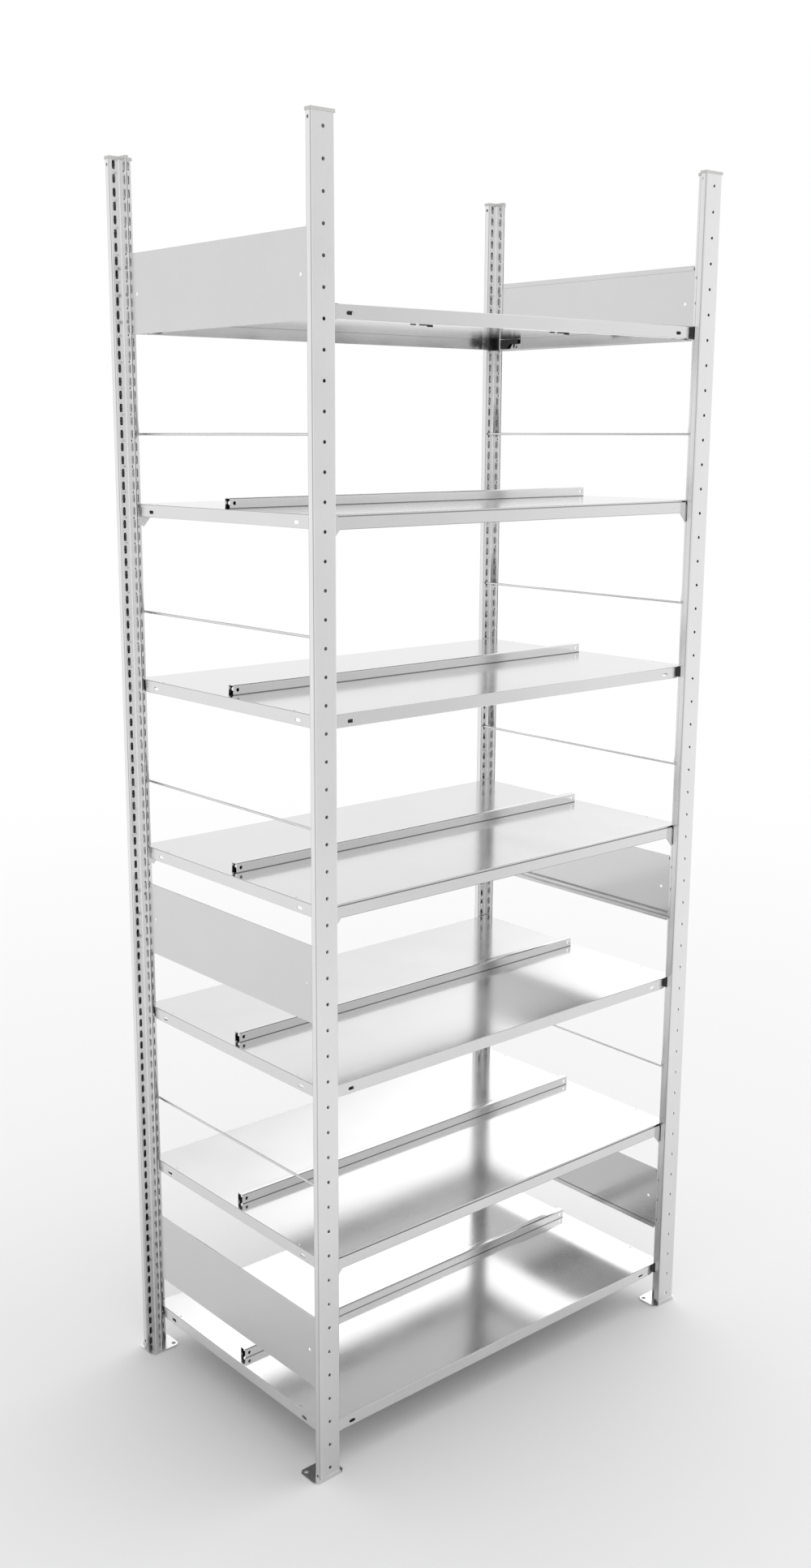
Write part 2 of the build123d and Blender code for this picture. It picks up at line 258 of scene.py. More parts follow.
class StageLook(bpy.types.PropertyGroup):
    """Camera, light and floor."""
    camera_place: FloatVectorProperty(
        name="Camera", description="Place of the camera", default=(-2.2200, -2.4750, 1.9903),
        subtype="TRANSLATION",
    )
    camera_turn: angle("Turn", 40.0, "Heading of the camera, to the right of straight on")
    camera_tilt: angle("Tilt", 12.41, "How far the camera looks down")
    focal: FloatProperty(
        name="Focal length", description="Focal length in picture heights",
        default=FOCAL_PIXELS / PICTURE_HEIGHT,
    )
    floor_near: colour("Floor near", (0.82, 0.82, 0.82), "Floor round the unit")
    floor_fade: length("Floor fade", 1300.0, "How far from the unit the floor begins to fade to white")
    floor_end: length("Floor end", 6000.0, "How far from the unit the floor is white")
    backdrop: strength("Backdrop", 1.0, "Strength of the white backdrop")
    front: strength("Front", 0.78, "Strength of the backdrop to the left and right of the camera")
    softbox: strength("Softbox", 1.65, "Strength of the round light above the unit")
    softbox_turn: angle("Softbox turn", 85.0, "Heading of the softbox, as for the camera")
    softbox_rise: angle("Softbox rise", 50.0, "How high the middle of the softbox stands")
    softbox_size: angle("Softbox size", 40.0, "From the softbox's middle to where it fades")
    softbox_fade: angle("Softbox fade", 46.0, "From the softbox's middle to its end")


def own(context):
    """The settings of the unit in this scene."""
    return context.scene.shelving


class Shelving(bpy.types.PropertyGroup):
    """All the settings."""
    unit: PointerProperty(type=UnitSizes)
    post: PointerProperty(type=PostSizes)
    shelf: PointerProperty(type=ShelfSizes)
    beam: PointerProperty(type=BeamSizes)
    rail: PointerProperty(type=RailSizes)
    end: PointerProperty(type=EndSizes)
    finish: PointerProperty(type=Finishes)
    stage: PointerProperty(type=StageLook)


# Modelling by hand

def deselect():
    """Nothing is selected after this."""
    if bpy.context.mode != "OBJECT":
        bpy.ops.object.mode_set(mode="OBJECT")
    bpy.ops.object.select_all(action="DESELECT")


def only(piece):
    """Select one piece and make it active."""
    deselect()
    piece.select_set(True)
    bpy.context.view_layer.objects.active = piece
    return piece


@contextmanager
def editing(piece):
    """Edit mode on one piece, with all of it selected."""
    only(piece)
    bpy.ops.object.mode_set(mode="EDIT")
    bpy.ops.mesh.select_mode(type="VERT")
    bpy.ops.mesh.select_all(action="SELECT")
    yield
    bpy.ops.object.mode_set(mode="OBJECT")


def pick(kind, test, whole=None):
    """In edit mode, select what has corners that all pass a test and, taken together, pass another."""
    bpy.ops.mesh.select_mode(type=kind)
    bpy.ops.mesh.select_all(action="DESELECT")
    mesh = bmesh.from_edit_mesh(bpy.context.object.data)
    count = 0
    for item in {"VERT": mesh.verts, "EDGE": mesh.edges, "FACE": mesh.faces}[kind]:
        corners = [v.co for v in ([item] if kind == "VERT" else item.verts)]
        if all(test(co) for co in corners) and (whole is None or whole(corners)):
            item.select_set(True)
            count += 1
    if not count:
        raise RuntimeError("nothing was found to select on " + bpy.context.object.name)
    bmesh.update_edit_mesh(bpy.context.object.data)


def near(a, b):
    """True if two lengths are the same to a hundredth of a millimetre."""
    return abs(a - b) < MM / 100


def runs_along(axis):
    """A test on an edge's ends: they differ along an axis."""
    return lambda ends: not near(ends[0][axis], ends[1][axis])


def along(axis, amount):
    """A vector along an axis."""
    return [amount if number == axis else 0.0 for number in range(3)]


def mirrored(half):
    """A line that goes on as its own reflection."""
    return half + [(-a, b) for a, b in reversed(half)]


def drag(x=0.0, y=0.0, z=0.0):
    """Extrude what is selected by this much."""
    bpy.ops.mesh.extrude_region_move(TRANSFORM_OT_translate={"value": (x, y, z)})


def shift(x=0.0, y=0.0, z=0.0):
    """Move what is selected by this much."""
    bpy.ops.transform.translate(value=(x, y, z))


def round_edges(radius, segments=3):
    """Round the selected edges."""
    bpy.ops.mesh.bevel(offset_type="OFFSET", offset=radius, segments=segments, affect="EDGES")


def drawn(name, points, closed=False):
    """A line drawn from point to point, or the flat face inside it."""
    deselect()
    bpy.ops.mesh.primitive_plane_add(size=MM, location=(0, 0, 0))
    piece = bpy.context.object
    piece.name = name
    with editing(piece):
        bpy.ops.mesh.merge(type="CENTER")
        shift(*points[0])
        for a, b in zip(points, points[1:]):
            drag(*[q - p for p, q in zip(a, b)])
        if closed:
            bpy.ops.mesh.select_all(action="SELECT")
            bpy.ops.mesh.edge_face_add()
    return piece


def apply(piece, kind, **settings):
    """Add a modifier and apply it at once."""
    only(piece)
    made = piece.modifiers.new(kind.lower(), kind)
    for key, value in settings.items():
        setattr(made, key, value)
    bpy.ops.object.modifier_apply(modifier=made.name)


def thicken(piece, wall, rank, towards):
    """Thicken a sheet inwards, after turning it so that its first face by some rank looks outwards."""
    if max(piece.data.polygons, key=rank).normal.dot(Vector(towards)) < 0:
        with editing(piece):
            bpy.ops.mesh.flip_normals()
    apply(piece, "SOLIDIFY", thickness=wall, offset=-1.0, use_even_offset=True)


def settle(piece):
    """Put a piece's place, turn and size in its mesh."""
    only(piece)
    bpy.ops.object.transform_apply(location=True, rotation=True, scale=True)
    return piece


def bar(place, axis, diameter, run, corners=16, rim=0.0):
    """A round bar along an axis, with its rims rounded where a radius is given."""
    deselect()
    bpy.ops.mesh.primitive_cylinder_add(
        vertices=corners, radius=diameter / 2, depth=run, location=place, rotation=TURNS[axis],
    )
    piece = settle(bpy.context.object)
    if rim:
        number = "XYZ".index(axis)
        with editing(piece):
            pick("EDGE", lambda co: near(abs(co[number] - place[number]), run / 2))
            round_edges(rim, 2)
    return piece


def drill(place, across, diameter, depth, stretch=0.0, to="Z", corners=16):
    """A round cutter through a wall, stretched along an axis for a slot."""
    cutter = bar(place, across, diameter, depth, corners)
    if stretch:
        axis = "XYZ".index(to)
        for side in (-1, 1):
            with editing(cutter):
                pick("VERT", lambda co: side * (co[axis] - place[axis]) > MM / 100)
                shift(*along(axis, side * (stretch - diameter) / 2))
    return cutter


def cut(piece, cutters):
    """Cut a group of cutters out of a piece."""
    only(cutters[0])
    for cutter in cutters:
        cutter.select_set(True)
    if len(cutters) > 1:
        bpy.ops.object.join()
    tool = bpy.context.object
    apply(piece, "BOOLEAN", operation="DIFFERENCE", solver="EXACT", object=tool)
    bpy.data.objects.remove(tool)


def smooth(piece, degrees=35):
    """Smooth the bends and keep the flats flat."""
    only(piece)
    bpy.ops.object.shade_smooth_by_angle(angle=math.radians(degrees))
    apply(piece, "WEIGHTED_NORMAL", keep_sharp=True)
    return piece


def placed(pattern, name, body, material, slot_name, *nodes, x=0.0, y=0.0, z=0.0, turn=False):
    """A copy of a pattern at its place, with its finish, its body and the nodes it replaces; the slot name
    is not used.
    """
    piece = pattern.copy()
    piece.data = pattern.data.copy()
    piece.name = name
    bpy.context.scene.collection.objects.link(piece)
    piece.rotation_euler.z = math.pi if turn else 0.0
    piece.location = (x, y, z)
    coat(settle(piece), material)
    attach(piece, body)
    if nodes:
        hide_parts(*nodes)


def on_posts(pattern, unit, name, material, slot_name, node):
    """A copy of the front left pattern at each of the posts."""
    for corner, (x_side, y_side) in CORNERS.items():
        placed(
            pattern, name + corner, ROOT_BODY, material, slot_name, node + corner,
            x=x_side * unit.grid_width / 2, y=y_side * unit.frame_depth / 2, turn=y_side > 0,
        )


def on_shelves(pattern, unit, levels, name, materials, slot_name, node=None):
    """A copy of a pattern on each of some shelves, with the materials in turn."""
    for level in levels:
        number = level + 1
        nodes = [node % number] if node else []
        placed(
            pattern, name % number, "shelf_body_%d" % number, materials[level % len(materials)],
            slot_name, *nodes, z=shelf_top(unit, level),
        )


def drop(*patterns):
    """Remove the patterns that copies were made from."""
    deselect()
    for piece in patterns:
        bpy.data.objects.remove(piece)


def joined(pieces, name):
    """Several pieces made into one."""
    only(pieces[0])
    for piece in pieces:
        piece.select_set(True)
    bpy.ops.object.join()
    bpy.context.object.name = name
    return bpy.context.object


def raised(name, points, x=0.0, y=0.0, z=0.0):
    """A drawn face made solid by this much."""
    piece = drawn(name, points, True)
    with editing(piece):
        drag(x, y, z)
        bpy.ops.mesh.select_all(action="SELECT")
        bpy.ops.mesh.normals_make_consistent(inside=False)
    return piece


def slab(name, points, bevel, **wall):
    """A plate with a drawn outline, with the edges of both its faces eased."""
    piece = raised(name, points, **wall)
    axis = "xyz".index(*wall)
    with editing(piece):
        places = [v.co[axis] for v in bmesh.from_edit_mesh(piece.data).verts]
        for place in (min(places), max(places)):
            pick("EDGE", lambda co: near(co[axis], place))
            round_edges(bevel, 2)
    return piece


def coat(piece, material):
    """Give a piece one finish all over."""
    piece.data.materials.clear()
    piece.data.materials.append(material)


# Shader maths

class Wire:
    """A socket of a material, so that shader maths reads as plain sums."""

    def __init__(self, shader, socket):
        self.shader = shader
        self.socket = socket

    def maths(self, operation, a, b=0.0):
        return self.shader.node("Math", {0: a, 1: b}, {"operation": operation})

    def __add__(self, other):
        return self.maths("ADD", self, other)

    def __sub__(self, other):
        return self.maths("SUBTRACT", self, other)

    def __rsub__(self, other):
        return self.maths("SUBTRACT", other, self)

    def __mul__(self, other):
        return self.maths("MULTIPLY", self, other)

    def __mod__(self, other):
        return self.maths("FLOORED_MODULO", self, other)

    def __abs__(self):
        return self.maths("ABSOLUTE", self)

    def __lt__(self, other):
        return self.maths("LESS_THAN", self, other)

    def __gt__(self, other):
        return self.maths("GREATER_THAN", self, other)

    __radd__ = __add__
    __rmul__ = __mul__


class Shader:
    """The nodes of a material or of the world."""

    def __init__(self, owner, end="OutputMaterial"):
        self.owner = owner
        self.end = end
        owner.use_nodes = True
        self.tree = owner.node_tree
        self.tree.nodes.clear()

    def node(self, kind, inputs=None, settings=None, output=0):
        """Any node, with its sockets' values or links and its settings."""
        made = self.tree.nodes.new("ShaderNode" + kind)
        for key, value in (settings or {}).items():
            if key == "stops":
                for stop, (spot, shade) in zip(made.color_ramp.elements, value):
                    stop.position = spot
                    stop.color = (*shade, 1.0)
            else:
                setattr(made, key, value)
        for key, value in (inputs or {}).items():
            if isinstance(value, Wire):
                self.tree.links.new(value.socket, made.inputs[key])
            else:
                made.inputs[key].default_value = value
        return Wire(self, made.outputs[output]) if len(made.outputs) else None

    def where(self, kind="Object"):
        """The place on the piece, or the heading in the world."""
        return self.node("TexCoord", output=kind)

    def parts(self, where):
        """X, Y and Z of a vector."""
        return [self.node("SeparateXYZ", {"Vector": where}, output=axis) for axis in "XYZ"]

    def vector(self, operation, *vectors, output="Value"):
        """Vector maths, whose result is a number unless another output is named."""
        return self.node("VectorMath", dict(enumerate(vectors)), {"operation": operation}, output)

    def noise(self, where, scale, detail):
        return self.node("TexNoise", {"Vector": where, "Scale": scale, "Detail": detail})

    def shaded(self, pattern, shade, spread):
        """A colour that goes a little darker and lighter with a pattern."""
        stops = [(0.3, tinted(shade, 1 - spread)), (0.7, tinted(shade, 1 + spread))]
        return self.node("ValToRGB", {"Fac": pattern}, {"stops": stops})

    def rise(self, value, low, high):
        """From 0 to 1 while a value goes from low to high, gently at both ends."""
        ends = {"Value": value, "From Min": low, "From Max": high}
        return self.node("MapRange", ends, {"interpolation_type": "SMOOTHSTEP"})

    def skin(self, tone, rough, height, dent, metallic):
        """The finished surface, with fine bumps."""
        bump = self.node("Bump", {"Height": height, "Strength": dent, "Distance": MM / 5})
        look = {"Base Color": tone, "Metallic": metallic, "Roughness": rough, "Normal": bump}
        return self.finish(self.node("BsdfPrincipled", look))

    def finish(self, surface):
        self.node(self.end, {"Surface": surface})
        return self.owner


def tinted(shade, amount):
    """A colour made lighter or darker."""
    return tuple(min(1.0, part * amount) for part in shade)


def steel(name, shade, roughness, grain=(1, 1, 1), painted_shade=None):
    """Zinc coated sheet: fine rolled grain along one direction, faint clouding, and painted shade where a
    mask gives it.
    """
    s = Shader(bpy.data.materials.new(name))
    where = s.where()
    fine = s.noise(s.node("Mapping", {"Vector": where, "Scale": grain}), STEEL_GRAIN, 2.0)
    mix = fine * GRAIN_SHARE + s.noise(where, STEEL_CLOUDS, 3.0) * (1 - GRAIN_SHARE)
    tone = s.shaded(mix, shade, STEEL_SPREAD)
    # Painted shade: the tone goes towards a dark grey as far as the mask says
    if painted_shade:
        darker = {"Factor": painted_shade(s, where), "A": tone, "B": (*tinted(shade, PAINTED_SHADE_TONE), 1.0)}
        tone = s.node("Mix", darker, {"data_type": "RGBA"}, 2)
    return s.skin(tone, mix * GLOSS_SPREAD + (roughness - GLOSS_SPREAD / 2), fine, STEEL_DENT, 1.0)


def plastic(name, shade, roughness):
    """Moulded plastic with a fine skin."""
    s = Shader(bpy.data.materials.new(name))
    grain = s.noise(s.where(), PLASTIC_GRAIN, 2.0)
    tone = s.shaded(grain, shade, PLASTIC_SPREAD)
    return s.skin(tone, grain * PLASTIC_GLOSS + roughness, grain, PLASTIC_DENT, 0.0)


def shelf_top(unit, level):
    """Height of a shelf's top face, level 0 being the lowest."""
    return unit.lowest_shelf_top + unit.shelf_pitch * level


def above_shelf(s, where, unit):
    """X, Y and the height over the nearest shelf's top face, for a material."""
    x, y, z = s.parts(where)
    half = unit.shelf_pitch / 2
    return x, y, (z - (unit.lowest_shelf_top - half)) % unit.shelf_pitch - half


def within(value, low, high):
    """1 where a material's value lies between two limits, else 0."""
    return (value > low) * (value < high)


# Posts

def section_line(post):
    """The outer line of the post's section, from one side of the slit round to the other."""
    return mirrored([
        (POST.slit / 2, post.section_depth),
        (post.stem_width / 2, post.section_depth),
        (post.stem_width / 2, post.flange_depth),
        (post.flange_width / 2, post.flange_depth),
        (post.flange_width / 2, 0.0),
    ])


def post_tile(post):
    """A short length of post with two slots on each side, a face hole and a stem hole."""
    tile = drawn("post_tile", [(x, y, 0.0) for x, y in section_line(post)])
    with editing(tile):
        drag(z=post.tile)
        for at_end, radius in ((False, post.bend), (True, POST.stem_bend)):
            def bent(co):
                in_stem_end = co.y > post.section_depth - post.wall
                return in_stem_end == at_end and not near(abs(co.x), POST.slit / 2)

            pick("EDGE", bent, runs_along(2))
            round_edges(radius, 4)
    thicken(tile, post.wall, lambda face: -face.center.y, (0, -1, 0))
    through = 3 * post.wall
    wall_middle = post.flange_depth - post.wall / 2
    middle = post.tile / 2
    cutters = [
        drill((x, wall_middle, z), "Y", post.slot_width, through, post.slot_height, "Z", 12)
        for x in (-post.slot_offset, post.slot_offset) for z in (middle / 2, middle * 3 / 2)
    ]
    cutters.append(drill((0, post.wall / 2, middle), "Y", post.face_hole, through))
    place = (0, POST.stem_hole_depth, middle)
    cutters.append(drill(place, "X", POST.stem_hole, 2 * post.stem_width, corners=12))
    cut(tile, cutters)
    with editing(tile):
        pick(
            "FACE", lambda co: near(co.z, 0) or near(co.z, post.tile),
            lambda corners: all(near(co.z, corners[0].z) for co in corners),
        )
        bpy.ops.mesh.delete(type="ONLY_FACE")
    return tile


def post_painted_shade(unit, post):
    """Painted shade on a post: inside it, in a line beside the bends of its flange, and a little near the
    floor.
    """
    half_wall, bend = post.wall / 2, post.bend
    half_width, half_depth = post.flange_width / 2, post.flange_depth / 2

    def painted_shade(s, where):
        x, y, z = s.parts(where)
        aside = abs(abs(x) - unit.grid_width / 2)
        deep = unit.frame_depth / 2 - abs(y)
        # painted shade inside the flange box and the stem
        box = (aside < half_width - half_wall) * within(deep, half_wall, post.flange_depth - half_wall)
        stem = (aside < post.stem_width / 2 - half_wall) * (deep > post.flange_depth - half_wall)
        # painted shade: a dark line on the side next to the front bend
        crease = within(abs(deep - half_depth), half_depth - 0.9 * bend, half_depth - 0.3 * bend)
        crease = crease * (aside > half_width - 0.3 * bend)
        # painted shade, darker towards the floor, for the shadowed floor that the steel reflects
        low = s.rise(z, unit.lowest_shelf_top + 2 * unit.shelf_pitch, 0.0)
        return (box + stem) * PAINTED_SHADE_HOLLOW + crease * PAINTED_SHADE_CREASE + low * PAINTED_SHADE_NEAR_FLOOR

    return painted_shade


class SHELVING_OT_posts(bpy.types.Operator):
    """Build the four slotted posts"""
    bl_idname = "shelving.posts"
    bl_label = "Posts"

    def execute(self, context):
        s = own(context)
        unit, post = s.unit, s.post
        pattern = post_tile(post)
        apply(
            pattern, "ARRAY", count=round(unit.unit_height / post.tile), use_relative_offset=False,
            use_constant_offset=True, constant_offset_displace=(0, 0, post.tile),
            use_merge_vertices=True, merge_threshold=MM / 50,
        )
        with editing(pattern):
            bpy.ops.mesh.bisect(plane_co=(0, 0, POST.foot_plate), plane_no=(0, 0, 1), clear_inner=True)
        first = post.tile / 4
        cut(pattern, [
            drill((0, POST.side_hole_depth, z), "X", POST.side_hole, 2 * post.flange_width)
            for z in (first, unit.unit_height - first)
        ])
        smooth(pattern)
        post_shade = post_painted_shade(unit, post)
        metal = steel("post_steel", s.finish.post, s.finish.post_roughness, (1, 1, 0.05), post_shade)
        on_posts(pattern, unit, "post_", metal, "upright_steel", "upright_")
        drop(pattern)
        return {"FINISHED"}


class SHELVING_OT_caps(bpy.types.Operator):
    """Build the caps on the posts and dress the foot plates"""
    bl_idname = "shelving.caps"
    bl_label = "Caps and feet"

    def execute(self, context):
        s = own(context)
        unit, post = s.unit, s.post
        out = CAP.overhang
        top, low = unit.unit_height + CAP.top, unit.unit_height - CAP.skirt
        line = mirrored([
            (post.stem_width / 2 + out, post.section_depth + out),
            (post.stem_width / 2 + out, post.flange_depth + out),
            (post.flange_width / 2 + out, post.flange_depth + out),
            (post.flange_width / 2 + out, -out),
        ])
        pattern = raised("cap_pattern", [(x, y, low) for x, y in line], z=top - low)
        with editing(pattern):
            pick("EDGE", lambda co: True, runs_along(2))
            round_edges(post.bend / 2)
            pick("EDGE", lambda co: co.z > top - MM / 100)
            round_edges(CAP.rounding)
        smooth(pattern)
        moulded = plastic("cap_plastic", s.finish.cap, s.finish.cap_roughness)
        on_posts(pattern, unit, "post_cap_", moulded, "cap_plastic", "cap_")
        sheet = steel("foot_steel", s.finish.foot, s.finish.post_roughness)
        for corner in CORNERS:
            coat(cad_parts["foot_" + corner], sheet)
        drop(pattern)
        return {"FINISHED"}


# Shelves

def tray(shelf):
    """A folded shelf, its top face at height 0."""
    halves = (shelf.run / 2, shelf.depth / 2)
    turns = (halves[0] - TRAY.turn_long, halves[1] - TRAY.turn_short)
    ends = (TRAY.turn_long - TRAY.end_long, TRAY.turn_short - TRAY.end_short)
    deselect()
    bpy.ops.mesh.primitive_plane_add(size=1, location=(0, 0, 0))
    piece = bpy.context.object
    piece.name = "tray_pattern"

    def on_edge(co, axis):
        """On the straight part of an edge that faces along an axis."""
        return near(abs(co[axis]), halves[axis]) and abs(co[1 - axis]) < turns[1 - axis] + MM / 10

    with editing(piece):
        bpy.ops.transform.resize(value=(shelf.run, shelf.depth, 1))
        for axis in (0, 1):
            for side in (-1, 1):
                bpy.ops.mesh.select_all(action="SELECT")
                bpy.ops.mesh.bisect(plane_co=along(axis, side * turns[axis]), plane_no=along(axis, 1))
        for axis in (1, 0):
            for side in (-1, 1):
                pick("EDGE", lambda co: on_edge(co, axis) and side * co[axis] > 0)
                drag(z=-shelf.edge)
                drag(*along(axis, -side * shelf.lip))
        for sides in CORNERS.values():
            for axis, other in ((1, 0), (0, 1)):
                rim, crease = sides[axis] * halves[axis], sides[other] * turns[other]
                pick("EDGE", lambda co: near(co[other], crease) and near(co[axis], rim))
                rim -= sides[axis] * TRAY.set_in
                move = along(axis, -sides[axis] * TRAY.set_in)
                move[other] = sides[other] * ends[other]
                drag(*move)
                pick("VERT", lambda co: near(co[axis], rim) and near(co.z, 0))
                shift(z=-shelf.sheet / 2)
        for z in (0.0, -shelf.edge):
            pick("EDGE", lambda co: near(co.z, z) and (on_edge(co, 0) or on_edge(co, 1)))
            round_edges(shelf.bend)
    thicken(piece, shelf.sheet, lambda face: face.area, (0, 0, 1))

    def hole(sides, in_x, in_y, z, across, width, *slot):
        """A hole at a corner, this far in from the shelf's ends."""
        place = (sides[0] * (halves[0] - in_x), sides[1] * (halves[1] - in_y), z)
        return drill(place, across, width, 6 * shelf.sheet, *slot)

    inset, drop_by, width = TRAY.hole_inset, -TRAY.hole_drop, shelf.long_hole_width
    cutters = []
    for sides in CORNERS.values():
        if sides[1] < 0:
            cutters.append(hole(sides, inset, 0, drop_by, "Y", width, shelf.long_hole, "X"))
        cutters += [
            hole(sides, 0, inset, drop_by, "X", width, shelf.long_hole, "Y"),
            hole(sides, TRAY.top_hole_inset, TRAY.top_hole_setback, 0, "Z", TRAY.top_hole),
            hole(sides, TRAY.turn_long, 0, -shelf.edge, "Y", TRAY.notch),
            hole(sides, 0, TRAY.turn_short, -shelf.edge, "X", TRAY.notch),
        ]
    cut(piece, cutters)
    return smooth(piece)


def shelf_painted_shade(unit, shelf, joint=0.0):
    """Painted shade on a shelf: dark lines along its upper folds, and a painted shadow in the joint behind
    a beam.
    """

    def painted_shade(s, where):
        x, y, z = above_shelf(s, where, unit)
        close = 0.6 * shelf.bend
        rim = (abs(x) > shelf.run / 2 - close) + (abs(y) > shelf.depth / 2 - close)
        # painted shade along the upper folds
        fold = rim * within(z, -0.75 * shelf.bend, -0.1 * shelf.bend) * PAINTED_SHADE_FOLD
        if joint:
            # painted shadow in the gap between the shelf's edge and the beam
            return fold + (abs(y) > shelf.depth / 2 - shelf.sheet / 2) * (z < -joint) * PAINTED_SHADE_JOINT
        return fold

    return painted_shade


class SHELVING_OT_shelves(bpy.types.Operator):
    """Build the folded shelves"""
    bl_idname = "shelving.shelves"
    bl_label = "Shelves"

    def execute(self, context):
        s = own(context)
        pattern = tray(s.shelf)
        metals = []
        # the beamed copy of the shelf steel differs only by a painted shadow in the joint
        for name, joint in (("shelf_steel", 0.0), ("beamed_shelf_steel", s.beam.joint)):
            folds = shelf_painted_shade(s.unit, s.shelf, joint)
            metals.append(steel(name, s.finish.shelf, s.finish.steel_roughness, (0.2, 1, 1), folds))
        on_shelves(pattern, s.unit, range(s.unit.shelf_count), "tray_%d", metals, "shelf_steel", "shelf_%d")
        drop(pattern)
        return {"FINISHED"}


def beam_pattern(unit, post, shelf, beam):
    """The front beam, shelf top at height 0 and its inner face at y 0."""
    half_run = unit.grid_width / 2 - BEAM_END.inset
    ear_in = half_run - BEAM_END.ear
    low = -shelf.edge - beam.sheet
    tip = -shelf.edge - BEAM_END.ear_drop
    hook_x = unit.grid_width / 2 - post.slot_offset
    tab_low = tip + BEAM_END.tab_rise
    line = mirrored([
        (half_run, -beam.top_drop),
        (half_run, -BEAM_END.tab_drop),
        (hook_x, -BEAM_END.tab_drop),
        (hook_x, tab_low),
        (half_run, tab_low),
        (half_run, tip),
        (ear_in, low),
    ])

    def on_rim(co):
        return near(co.z, low) and abs(co.x) < ear_in + MM / 10

    piece = drawn("beam_pattern", [(x, -beam.sheet, z) for x, z in line], True)
    with editing(piece):
        pick("EDGE", on_rim)
        drag(y=beam.lip)
        pick("EDGE", lambda co: on_rim(co) and near(co.y, -beam.sheet))
        round_edges(shelf.bend)
    thicken(piece, beam.sheet, lambda face: face.area, (0, -1, 0))
    middle, mark_x = (low - beam.top_drop) / 2, half_run - BEAM_END.mark_inset
    cut(piece, [
        drill(
            (side * mark_x + step * BEAM_END.mark_gap / 2, -beam.sheet, middle), "Y", BEAM_END.mark_width,
            2 * BEAM_END.mark_depth, BEAM_END.mark_height, "Z", 8,
        )
        for side in (-1, 1) for step in (-1, 1)
    ])
    return smooth(piece)


def beam_painted_shade(unit, shelf, beam):
    """Painted shade on a beam: along its lower fold and lip, between the ears."""
    ear_in = unit.grid_width / 2 - BEAM_END.inset - BEAM_END.ear

    def painted_shade(s, where):
        x, _, z = above_shelf(s, where, unit)
        return (abs(x) < ear_in) * (z < -shelf.edge - 0.1 * shelf.bend) * PAINTED_SHADE_FOLD

    return painted_shade


class SHELVING_OT_beams(bpy.types.Operator):
    """Build the hook-in beams"""
    bl_idname = "shelving.beams"
    bl_label = "Beams"

    def execute(self, context):
        s = own(context)
        unit, post, shelf, beam = s.unit, s.post, s.shelf, s.beam
        pattern = beam_pattern(unit, post, shelf, beam)
        folds = beam_painted_shade(unit, shelf, beam)
        metal = steel("beam_steel", s.finish.shelf, s.finish.steel_roughness, (0.2, 1, 1), folds)
        gap = unit.frame_depth / 2 - post.flange_depth - shelf.depth / 2
        y = shelf.depth / 2 + (gap - beam.sheet) / 2
        for level in range(1, unit.shelf_count, 2):
            for side, y_side in (("front", -1), ("rear", 1)):
                node = "beam_%s_%d" % (side, level + 1)
                placed(
                    pattern, "hook_" + node, ROOT_BODY, metal, "shelf_steel", node,
                    y=y_side * y, z=shelf_top(unit, level), turn=y_side > 0,
                )
        drop(pattern)
        return {"FINISHED"}


def clip_arm(shelf, x_side, y_side):
    """One moulded arm at a corner, shelf top at height 0: along X on the left, along Y on the right."""
    on_left = x_side < 0
    half_latch = (CLIP.latch if on_left else CLIP.spur) / 2
    latch_near, latch_far = TRAY.hole_inset - half_latch, TRAY.hole_inset + half_latch
    profile = [
        (CLIP.start, -CLIP.top), (CLIP.end, -CLIP.top), (CLIP.end, -CLIP.half),
        (latch_far, -CLIP.half), (latch_far, -CLIP.latch_low),
        (latch_near, -CLIP.latch_low), (latch_near, -CLIP.half),
        (CLIP.neck, -CLIP.half), (CLIP.root, -CLIP.low), (CLIP.start, -CLIP.low),
    ]
    inner = TRAY.set_in + shelf.sheet + CLIP.play
    line = []
    for reach, z in profile:
        in_x, in_y = (reach, inner) if on_left else (inner, reach)
        line.append((x_side * (shelf.run / 2 - in_x), y_side * (shelf.depth / 2 - in_y), z))
    wall = {"y": -y_side * CLIP.wall} if on_left else {"x": -x_side * CLIP.wall}
    return slab("clip_arm", line, CLIP.wall / 5, **wall)


def clip_plug(shelf, plug_out, x_side, y_side):
    """The clip's block between a long edge's end and the post, shelf top at height 0."""
    near_x, far_x = [x_side * (shelf.run / 2 - reach) for reach in (CLIP.plug_near, CLIP.plug_far)]
    out_y, in_y = [y_side * (shelf.depth / 2 + reach) for reach in (plug_out, -CLIP.plug_in)]
    corners = [(near_x, out_y), (far_x, out_y), (far_x, in_y), (near_x, in_y)]
    line = [(x, y, -CLIP.low) for x, y in corners]
    return slab("clip_plug", line, CLIP.wall / 5, z=CLIP.low - CLIP.top)


class SHELVING_OT_clips(bpy.types.Operator):
    """Build the arms in every shelf's corners and dress the clips in the posts"""
    bl_idname = "shelving.clips"
    bl_label = "Corner clips"

    def execute(self, context):
        s = own(context)
        moulded = plastic("clip_plastic", s.finish.clip, s.finish.clip_roughness)
        # behind a beam there is no room for a plug that stands out
        for first, plug_out in ((0, CLIP.plug_out), (1, 0.0)):
            levels = range(first, s.unit.shelf_count, 2)
            arms = [clip_arm(s.shelf, *sides) for sides in CORNERS.values()]
            plugs = [clip_plug(s.shelf, plug_out, *sides) for sides in CORNERS.values()]
            pattern = smooth(joined(arms + plugs, "arms_pattern"))
            on_shelves(pattern, s.unit, levels, "clip_arms_%d", [moulded], "clip_plastic")
            drop(pattern)
        for level in range(0, s.unit.shelf_count, 2):
            coat(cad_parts["shelf_clips_%d" % (level + 1)], moulded)
        return {"FINISHED"}


